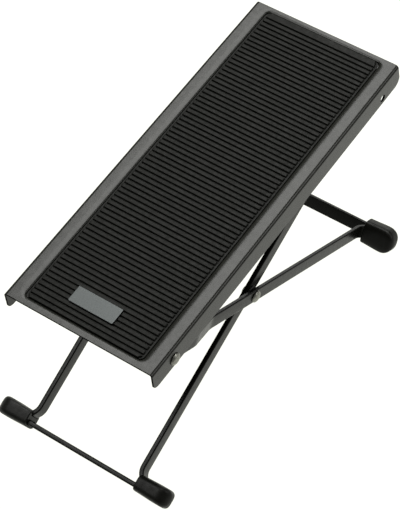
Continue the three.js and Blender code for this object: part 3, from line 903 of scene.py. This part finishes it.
def rear_leg_path(spare=0.0):
    """From the round end at the flange, inward at the joggle, to the foot and by this much further."""
    top_x = REAR_LEG_TOP_X - REAR.thickness / 2
    low_x = REAR.outer_x - REAR.thickness / 2
    radius = end_radius(REAR.width)
    points = [Vector((top_x, -radius))]
    steps = 2 * ARC_STEPS
    for share in (k / steps for k in range(steps + 1)):
        x = top_x + (low_x - top_x) * joggle_ease(share)
        points.append(Vector((x, JOGGLE_START + JOGGLE_LENGTH * share)))
    return Path(points + bent_end(REAR, spare), radius)


def front_leg_path(spare=0.0):
    """From the round end at the height rod straight to the foot, and by this much further."""
    radius = end_radius(FRONT.width)
    top = Vector((FRONT.outer_x - FRONT.thickness / 2, SCISSOR_TO_ROD + radius))
    return Path([top] + bent_end(FRONT, spare), radius)


def strip(start, end, half_width):
    """A straight strip's outline."""
    ends = ((start, -half_width), (end, -half_width), (end, half_width), (start, half_width))
    return [Vector(place) for place in ends]


def add_leg(bm, legs, path, holes):
    """A bar that follows its path from a round end, with holes of (Y, radius)."""
    radius = end_radius(legs.width)
    reach = math.degrees(math.asin(legs.width / 2 / radius))
    outline = arc(0, 0, radius, 180 - reach, 180 + reach, 2 * ARC_STEPS)
    outline += [Vector((path.at[-1], side * legs.width / 2)) for side in (-1, 1)]
    circles = [circle(path.distance_to(y), 0, hole_radius) for y, hole_radius in holes]
    add_sheet(bm, outline, legs.thickness, BAR_EDGE, path.fold, circles, path.at[1:-1])


def add_cross_bar(bm, legs, spare=0.0):
    """The bar between a frame's feet, or with some room to spare the hollow that it needs."""
    half_length = footed_end(legs) + spare
    middle_y = legs.cross_bar_y + legs.away * (GAP + legs.thickness / 2)
    outline = strip(-half_length, half_length, legs.width / 2 + spare)
    edge = TINY if spare else BAR_EDGE
    add_sheet(bm, outline, legs.thickness + 2 * spare, edge, lambda a, b, h: (a, middle_y - h, b))


def foot_half_sizes(from_tip):
    """A foot's half thickness and half width at this distance from its tip."""
    share = min((FOOT_LENGTH - from_tip) / (FOOT_LENGTH - FOOT_TIP_LENGTH), 1.0)
    swell = share * share * (3 - 2 * share)

    def half(at_mouth, at_widest, tip_length, fullness):
        closing = max(0.0, 1 - from_tip / tip_length) ** fullness
        return (at_mouth + (at_widest - at_mouth) * swell) / 2 * (1 - closing) ** (1 / fullness)

    return (half(FOOT_MOUTH_THICKNESS, FOOT_THICKNESS, FOOT_TIP_FLAT_LENGTH, FOOT_TIP_FLAT_FULLNESS),
            half(FOOT_MOUTH_WIDTH, FOOT_WIDTH, FOOT_TIP_LENGTH, FOOT_TIP_FULLNESS))


def foot_ring(x, middle_y, half_thickness, half_width):
    """A foot's section at this X, a squarish curve that goes round from +Y to +Z."""
    def squarish(value):
        return math.copysign(abs(value) ** (2 / FOOT_SQUARENESS), value)

    angles = [2 * math.pi * k / SIDES for k in range(SIDES)]
    return [(x, middle_y + half_thickness * squarish(math.cos(a)), half_width * squarish(math.sin(a)))
            for a in angles]


def add_foot(bm, legs):
    """The moulded sleeve, not yet hollow, with a soft lip at its mouth and a round tip."""
    mouth_x = legs.outer_x + legs.foot_gap
    tip_x = mouth_x + FOOT_LENGTH
    middle_y = legs.cross_bar_y + legs.away * (GAP / 2 - FOOT_TOWARD_LEG)
    rings = []
    for k in range(FOOT_LIP_STEPS):
        angle = math.radians(90 * k / FOOT_LIP_STEPS)
        from_tip = FOOT_LENGTH - FOOT_MOUTH_RADIUS * (1 - math.cos(angle))
        inset = FOOT_MOUTH_RADIUS * (1 - math.sin(angle))
        sizes = [size - inset for size in foot_half_sizes(from_tip)]
        rings.append(foot_ring(tip_x - from_tip, middle_y, *sizes))
    body = FOOT_LENGTH - FOOT_MOUTH_RADIUS - FOOT_TIP_LENGTH
    stations = [FOOT_TIP_LENGTH + body * (1 - k / FOOT_BODY_STEPS) for k in range(FOOT_BODY_STEPS)]
    turns = [math.radians(90 * (1 - k / FOOT_TIP_STEPS)) for k in range(FOOT_TIP_STEPS)]
    stations += [FOOT_TIP_LENGTH * (1 - math.cos(turn)) for turn in turns]
    rings += [foot_ring(tip_x - s, middle_y, *foot_half_sizes(s)) for s in stations]
    add_skin(bm, (mouth_x, middle_y, 0), rings, (tip_x, middle_y, 0))


def cut_away(mesh, cutters):
    """The mesh with the cutters' shapes taken out of it."""
    target = bpy.data.objects.new("cut_target", mesh)
    bpy.context.scene.collection.objects.link(target)
    helpers = []
    for cutter in cutters:
        helper = bpy.data.objects.new("cutter", cutter)
        bpy.context.scene.collection.objects.link(helper)
        boolean = target.modifiers.new("cut", "BOOLEAN")
        boolean.operation = "DIFFERENCE"
        boolean.solver = "EXACT"
        boolean.object = helper
        helpers.append(helper)
    bpy.context.view_layer.update()
    depsgraph = bpy.context.evaluated_depsgraph_get()
    result = bpy.data.meshes.new_from_object(target.evaluated_get(depsgraph))
    for thing in [target, *helpers]:
        bpy.data.objects.remove(thing)
    return result


def show_feet(name, legs, path):
    """A frame's two feet, hollow where the legs' bent ends and the cross bar's ends go in."""
    outline = strip(path.at[0], path.at[-1], legs.width / 2 + GAP)
    leg_hollow = (outline, legs.thickness + 2 * GAP, TINY, path.fold, (), path.at[1:-1])
    for side, mirror in PAIR:
        solid = mesh_of("foot_solid", legs.place, mirror, add_foot, legs)
        cutters = [mesh_of("leg_hollow", legs.place, mirror, add_sheet, *leg_hollow),
                   mesh_of("bar_hollow", legs.place, mirror, add_cross_bar, legs, GAP + HOLLOW_STEP)]
        hollow = cut_away(solid, cutters)
        hollow.name = f"{name}_{side}_detail"
        hollow.materials.clear()
        show(hollow, f"{name}_{side}", legs.body, "foot_rubber", FOOT_SHARP_ANGLE)


# Rivets, washers and the height rod

def dome(face_x, radius, height, outward):
    """A rivet's domed end on a flat face, as (X, radius) in the order of X."""
    angles = [math.radians(90 * k / DOME_STEPS) for k in range(DOME_STEPS + 1)]
    side = [(face_x + outward * height * math.sin(a), radius * math.cos(a)) for a in angles]
    return side if outward > 0 else side[::-1]


def add_rivet(bm, tail_x, head_x, y=0.0):
    """A rivet between its tail's face and its head's."""
    profile = dome(tail_x, RIVET_TAIL_RADIUS, RIVET_TAIL_HEIGHT, -1)
    profile += [(tail_x, RIVET_RADIUS), (head_x, RIVET_RADIUS)]
    profile += dome(head_x, RIVET_HEAD_RADIUS, RIVET_HEAD_HEIGHT, 1)
    add_turned(bm, profile, y)


def add_washer(bm, x0, x1, y=0.0):
    """A washer with bevelled edges, from one face to the other."""
    edge = WASHER_EDGE
    section = [(x0, RIVET_HOLE_RADIUS + edge), (x0, WASHER_RADIUS - edge), (x0 + edge, WASHER_RADIUS),
               (x1 - edge, WASHER_RADIUS), (x1, WASHER_RADIUS - edge), (x1, RIVET_HOLE_RADIUS + edge),
               (x1 - edge, RIVET_HOLE_RADIUS), (x0 + edge, RIVET_HOLE_RADIUS)]
    add_ring(bm, section, y)


def add_height_rod(bm):
    """The rod between the front legs, with a tenon through each and a riveted head outside it."""
    shoulder = FRONT.outer_x - FRONT.thickness - GAP
    head = FRONT.outer_x + GAP
    half = [(shoulder - GAP, ROD_RADIUS), (shoulder, ROD_RADIUS - GAP), (shoulder, ROD_TENON_RADIUS),
            (head, ROD_TENON_RADIUS), (head, ROD_HEAD_RADIUS)]
    half += [(head + ROD_HEAD_HEIGHT * math.sin(a), ROD_HEAD_RADIUS * math.cos(a) ** ROD_HEAD_POWER)
             for a in (math.radians(90 * k / ROD_HEAD_STEPS) for k in range(1, ROD_HEAD_STEPS))]
    half.append((head + ROD_HEAD_HEIGHT, 0.0))
    add_turned(bm, [(-x, radius) for x, radius in half[::-1]] + half, SCISSOR_TO_ROD)


# A face looks along Y when its normal has at least this share along it
LEAST_ALONG_Y = 0.8


def shade_faces_along_y(piece):
    """What looks along Y gets the duller coat with painted shade: cut ends, and parts of the holes and the
    recess's walls.
    """
    piece.data.materials.append(dull_coat_with_painted_shade())
    for face in piece.data.polygons:
        # Faces that look along Y get the painted shade
        if abs(face.normal.y) > LEAST_ALONG_Y:
            face.material_index = 1


# The tread's pieces
shade_faces_along_y(show_node("tread_plate", "tread", "tread_paint", IN_TREAD, add_tread_plate))
show_node("tread_mat", "tread", "mat_rubber", IN_TREAD, add_tread_mat, sharp=MAT_SHARP_ANGLE)
show_node("badge_plate", "tread", "badge_metal", IN_TREAD, add_badge)
show_pair("notch_rack", "tread", "frame_paint", IN_TREAD, add_rack)

# The rear frame's pieces
show_pair("rear_leg", "rear_frame", "frame_paint", IN_REAR, add_leg, REAR, rear_leg_path(),
          ((0, RIVET_HOLE_RADIUS), (PIVOT_TO_SCISSOR, RIVET_HOLE_RADIUS)))
show_node("rear_cross_bar", "rear_frame", "frame_paint", IN_REAR, add_cross_bar, REAR)
show_feet("rear_foot", REAR, rear_leg_path(GAP))
show_pair("flange_rivet", "rear_frame", "rivet_steel", IN_REAR, add_rivet,
          REAR_LEG_TOP_X - REAR.thickness - GAP, TREAD_WIDTH / 2 + GAP)
show_pair("flange_washer", "rear_frame", "washer_nylon", IN_REAR, add_washer,
          REAR_LEG_TOP_X + GAP, FLANGE_INNER_X - GAP)
show_pair("scissor_rivet", "rear_frame", "rivet_steel", IN_REAR, add_rivet,
          FRONT.outer_x - FRONT.thickness - GAP, REAR.outer_x + GAP, PIVOT_TO_SCISSOR)
show_pair("scissor_washer", "rear_frame", "washer_nylon", IN_REAR, add_washer,
          FRONT.outer_x + GAP, REAR.outer_x - REAR.thickness - GAP, PIVOT_TO_SCISSOR)

# The front frame's pieces
show_pair("front_leg", "front_frame", "frame_paint", IN_FRONT, add_leg, FRONT, front_leg_path(),
          ((SCISSOR_TO_ROD, ROD_TENON_RADIUS + GAP), (0, RIVET_HOLE_RADIUS)))
show_node("front_cross_bar", "front_frame", "frame_paint", IN_FRONT, add_cross_bar, FRONT)
show_feet("front_foot", FRONT, front_leg_path(GAP))
show_node("height_rod", "front_frame", "rivet_steel", IN_FRONT, add_height_rod)


# Studio, in metres

# The floor glows like lit paper in a pool round the object, and is darker further off
FLOOR_SIZE = 6.0
POOL_RADIUS = 0.42
POOL_OUTER_RADIUS = 0.80
POOL_GLOW = 1.0
FAR_GLOW = 0.10

# Very slightly yellow, as the photograph's greys are
LAMP_COLOUR = (1.0, 1.0, 0.975)

# The camera stands where the photograph's did. Its long lens and its sensor are in millimetres
CAMERA_PLACE = Vector((0.46989, -0.69309, 1.04940))
CAMERA_AIM = Vector((-0.00040, -0.00527, 0.08185))
CAMERA_ROLL = 0.364
CAMERA_LENS = 172.527
CAMERA_SENSOR = 36.0
CAMERA_NEAR = 0.01


def add_floor():
    """The sheet of paper that the object stands on."""
    half = FLOOR_SIZE / 2
    mesh = bpy.data.meshes.new("floor")
    corners = [(-half, -half, 0), (half, -half, 0), (half, half, 0), (-half, half, 0)]
    mesh.from_pydata(corners, [], [(0, 1, 2, 3)])
    material = bpy.data.materials.new("floor_paper")
    material.use_nodes = True
    shader = material.node_tree.nodes["Principled BSDF"]
    shader.inputs["Base Color"].default_value = (0.02, 0.02, 0.02, 1)
    shader.inputs["Roughness"].default_value = 0.9
    shader.inputs["Emission Color"].default_value = (1.07, 1.08, 1.0, 1)
    place = material.node_tree.nodes.new("ShaderNodeTexCoord").outputs["Object"]
    distance = material.node_tree.nodes.new("ShaderNodeVectorMath")
    distance.operation = "LENGTH"
    pool = material.node_tree.nodes.new("ShaderNodeMapRange")
    pool.interpolation_type = "SMOOTHSTEP"
    pool.inputs["From Min"].default_value = POOL_RADIUS
    pool.inputs["From Max"].default_value = POOL_OUTER_RADIUS
    pool.inputs["To Min"].default_value = POOL_GLOW
    pool.inputs["To Max"].default_value = FAR_GLOW
    material.node_tree.links.new(place, distance.inputs[0])
    material.node_tree.links.new(distance.outputs["Value"], pool.inputs["Value"])
    material.node_tree.links.new(pool.outputs["Result"], shader.inputs["Emission Strength"])
    mesh.materials.append(material)
    floor = bpy.data.objects.new("floor", mesh)
    bpy.context.scene.collection.objects.link(floor)


def add_softbox(name, place, aim, size, power):
    """A rectangular lamp of this size and power in watts, turned to what it aims at."""
    light = bpy.data.lights.new(name, "AREA")
    light.shape = "RECTANGLE"
    light.size, light.size_y = size
    light.energy = power
    light.color = LAMP_COLOUR
    lamp = bpy.data.objects.new(name, light)
    lamp.location = place
    lamp.rotation_euler = (Vector(aim) - Vector(place)).to_track_quat("-Z", "Y").to_euler()
    bpy.context.scene.collection.objects.link(lamp)


def add_camera():
    """The camera, turned to its aim and rolled a little."""
    camera = bpy.data.cameras.new("camera")
    camera.sensor_fit = "HORIZONTAL"
    camera.sensor_width = CAMERA_SENSOR
    camera.lens = CAMERA_LENS
    camera.clip_start = CAMERA_NEAR
    holder = bpy.data.objects.new("camera", camera)
    turn = (CAMERA_AIM - CAMERA_PLACE).to_track_quat("-Z", "Y").to_matrix().to_4x4()
    roll = Matrix.Rotation(math.radians(CAMERA_ROLL), 4, "Z")
    holder.matrix_world = Matrix.Translation(CAMERA_PLACE) @ turn @ roll
    bpy.context.scene.collection.objects.link(holder)
    bpy.context.scene.camera = holder


def add_world():
    """A dim white surround."""
    world = bpy.data.worlds.new("studio")
    world.use_nodes = True
    background = world.node_tree.nodes["Background"]
    background.inputs["Color"].default_value = (1, 1, 1, 1)
    background.inputs["Strength"].default_value = 0.2
    bpy.context.scene.world = world


add_floor()
add_softbox("overhead", place=(-0.32, 0.66, 1.6), aim=(-0.32, 0.66, 0), size=(1.16, 1.12), power=48)
add_softbox("side", place=(1.23, 0.61, 0.84), aim=(0, 0, 0.13), size=(0.7, 0.7), power=8)
add_softbox("front", place=(-0.6, -0.62, 1.6), aim=(-0.05, -0.05, 0.05), size=(0.8, 0.8), power=18)
add_softbox("back", place=(-0.8, 2.2, 0.35), aim=(0, 0, 0.1), size=(1.8, 0.7), power=9)
add_world()
add_camera()
bpy.context.scene.view_settings.view_transform = "Standard"
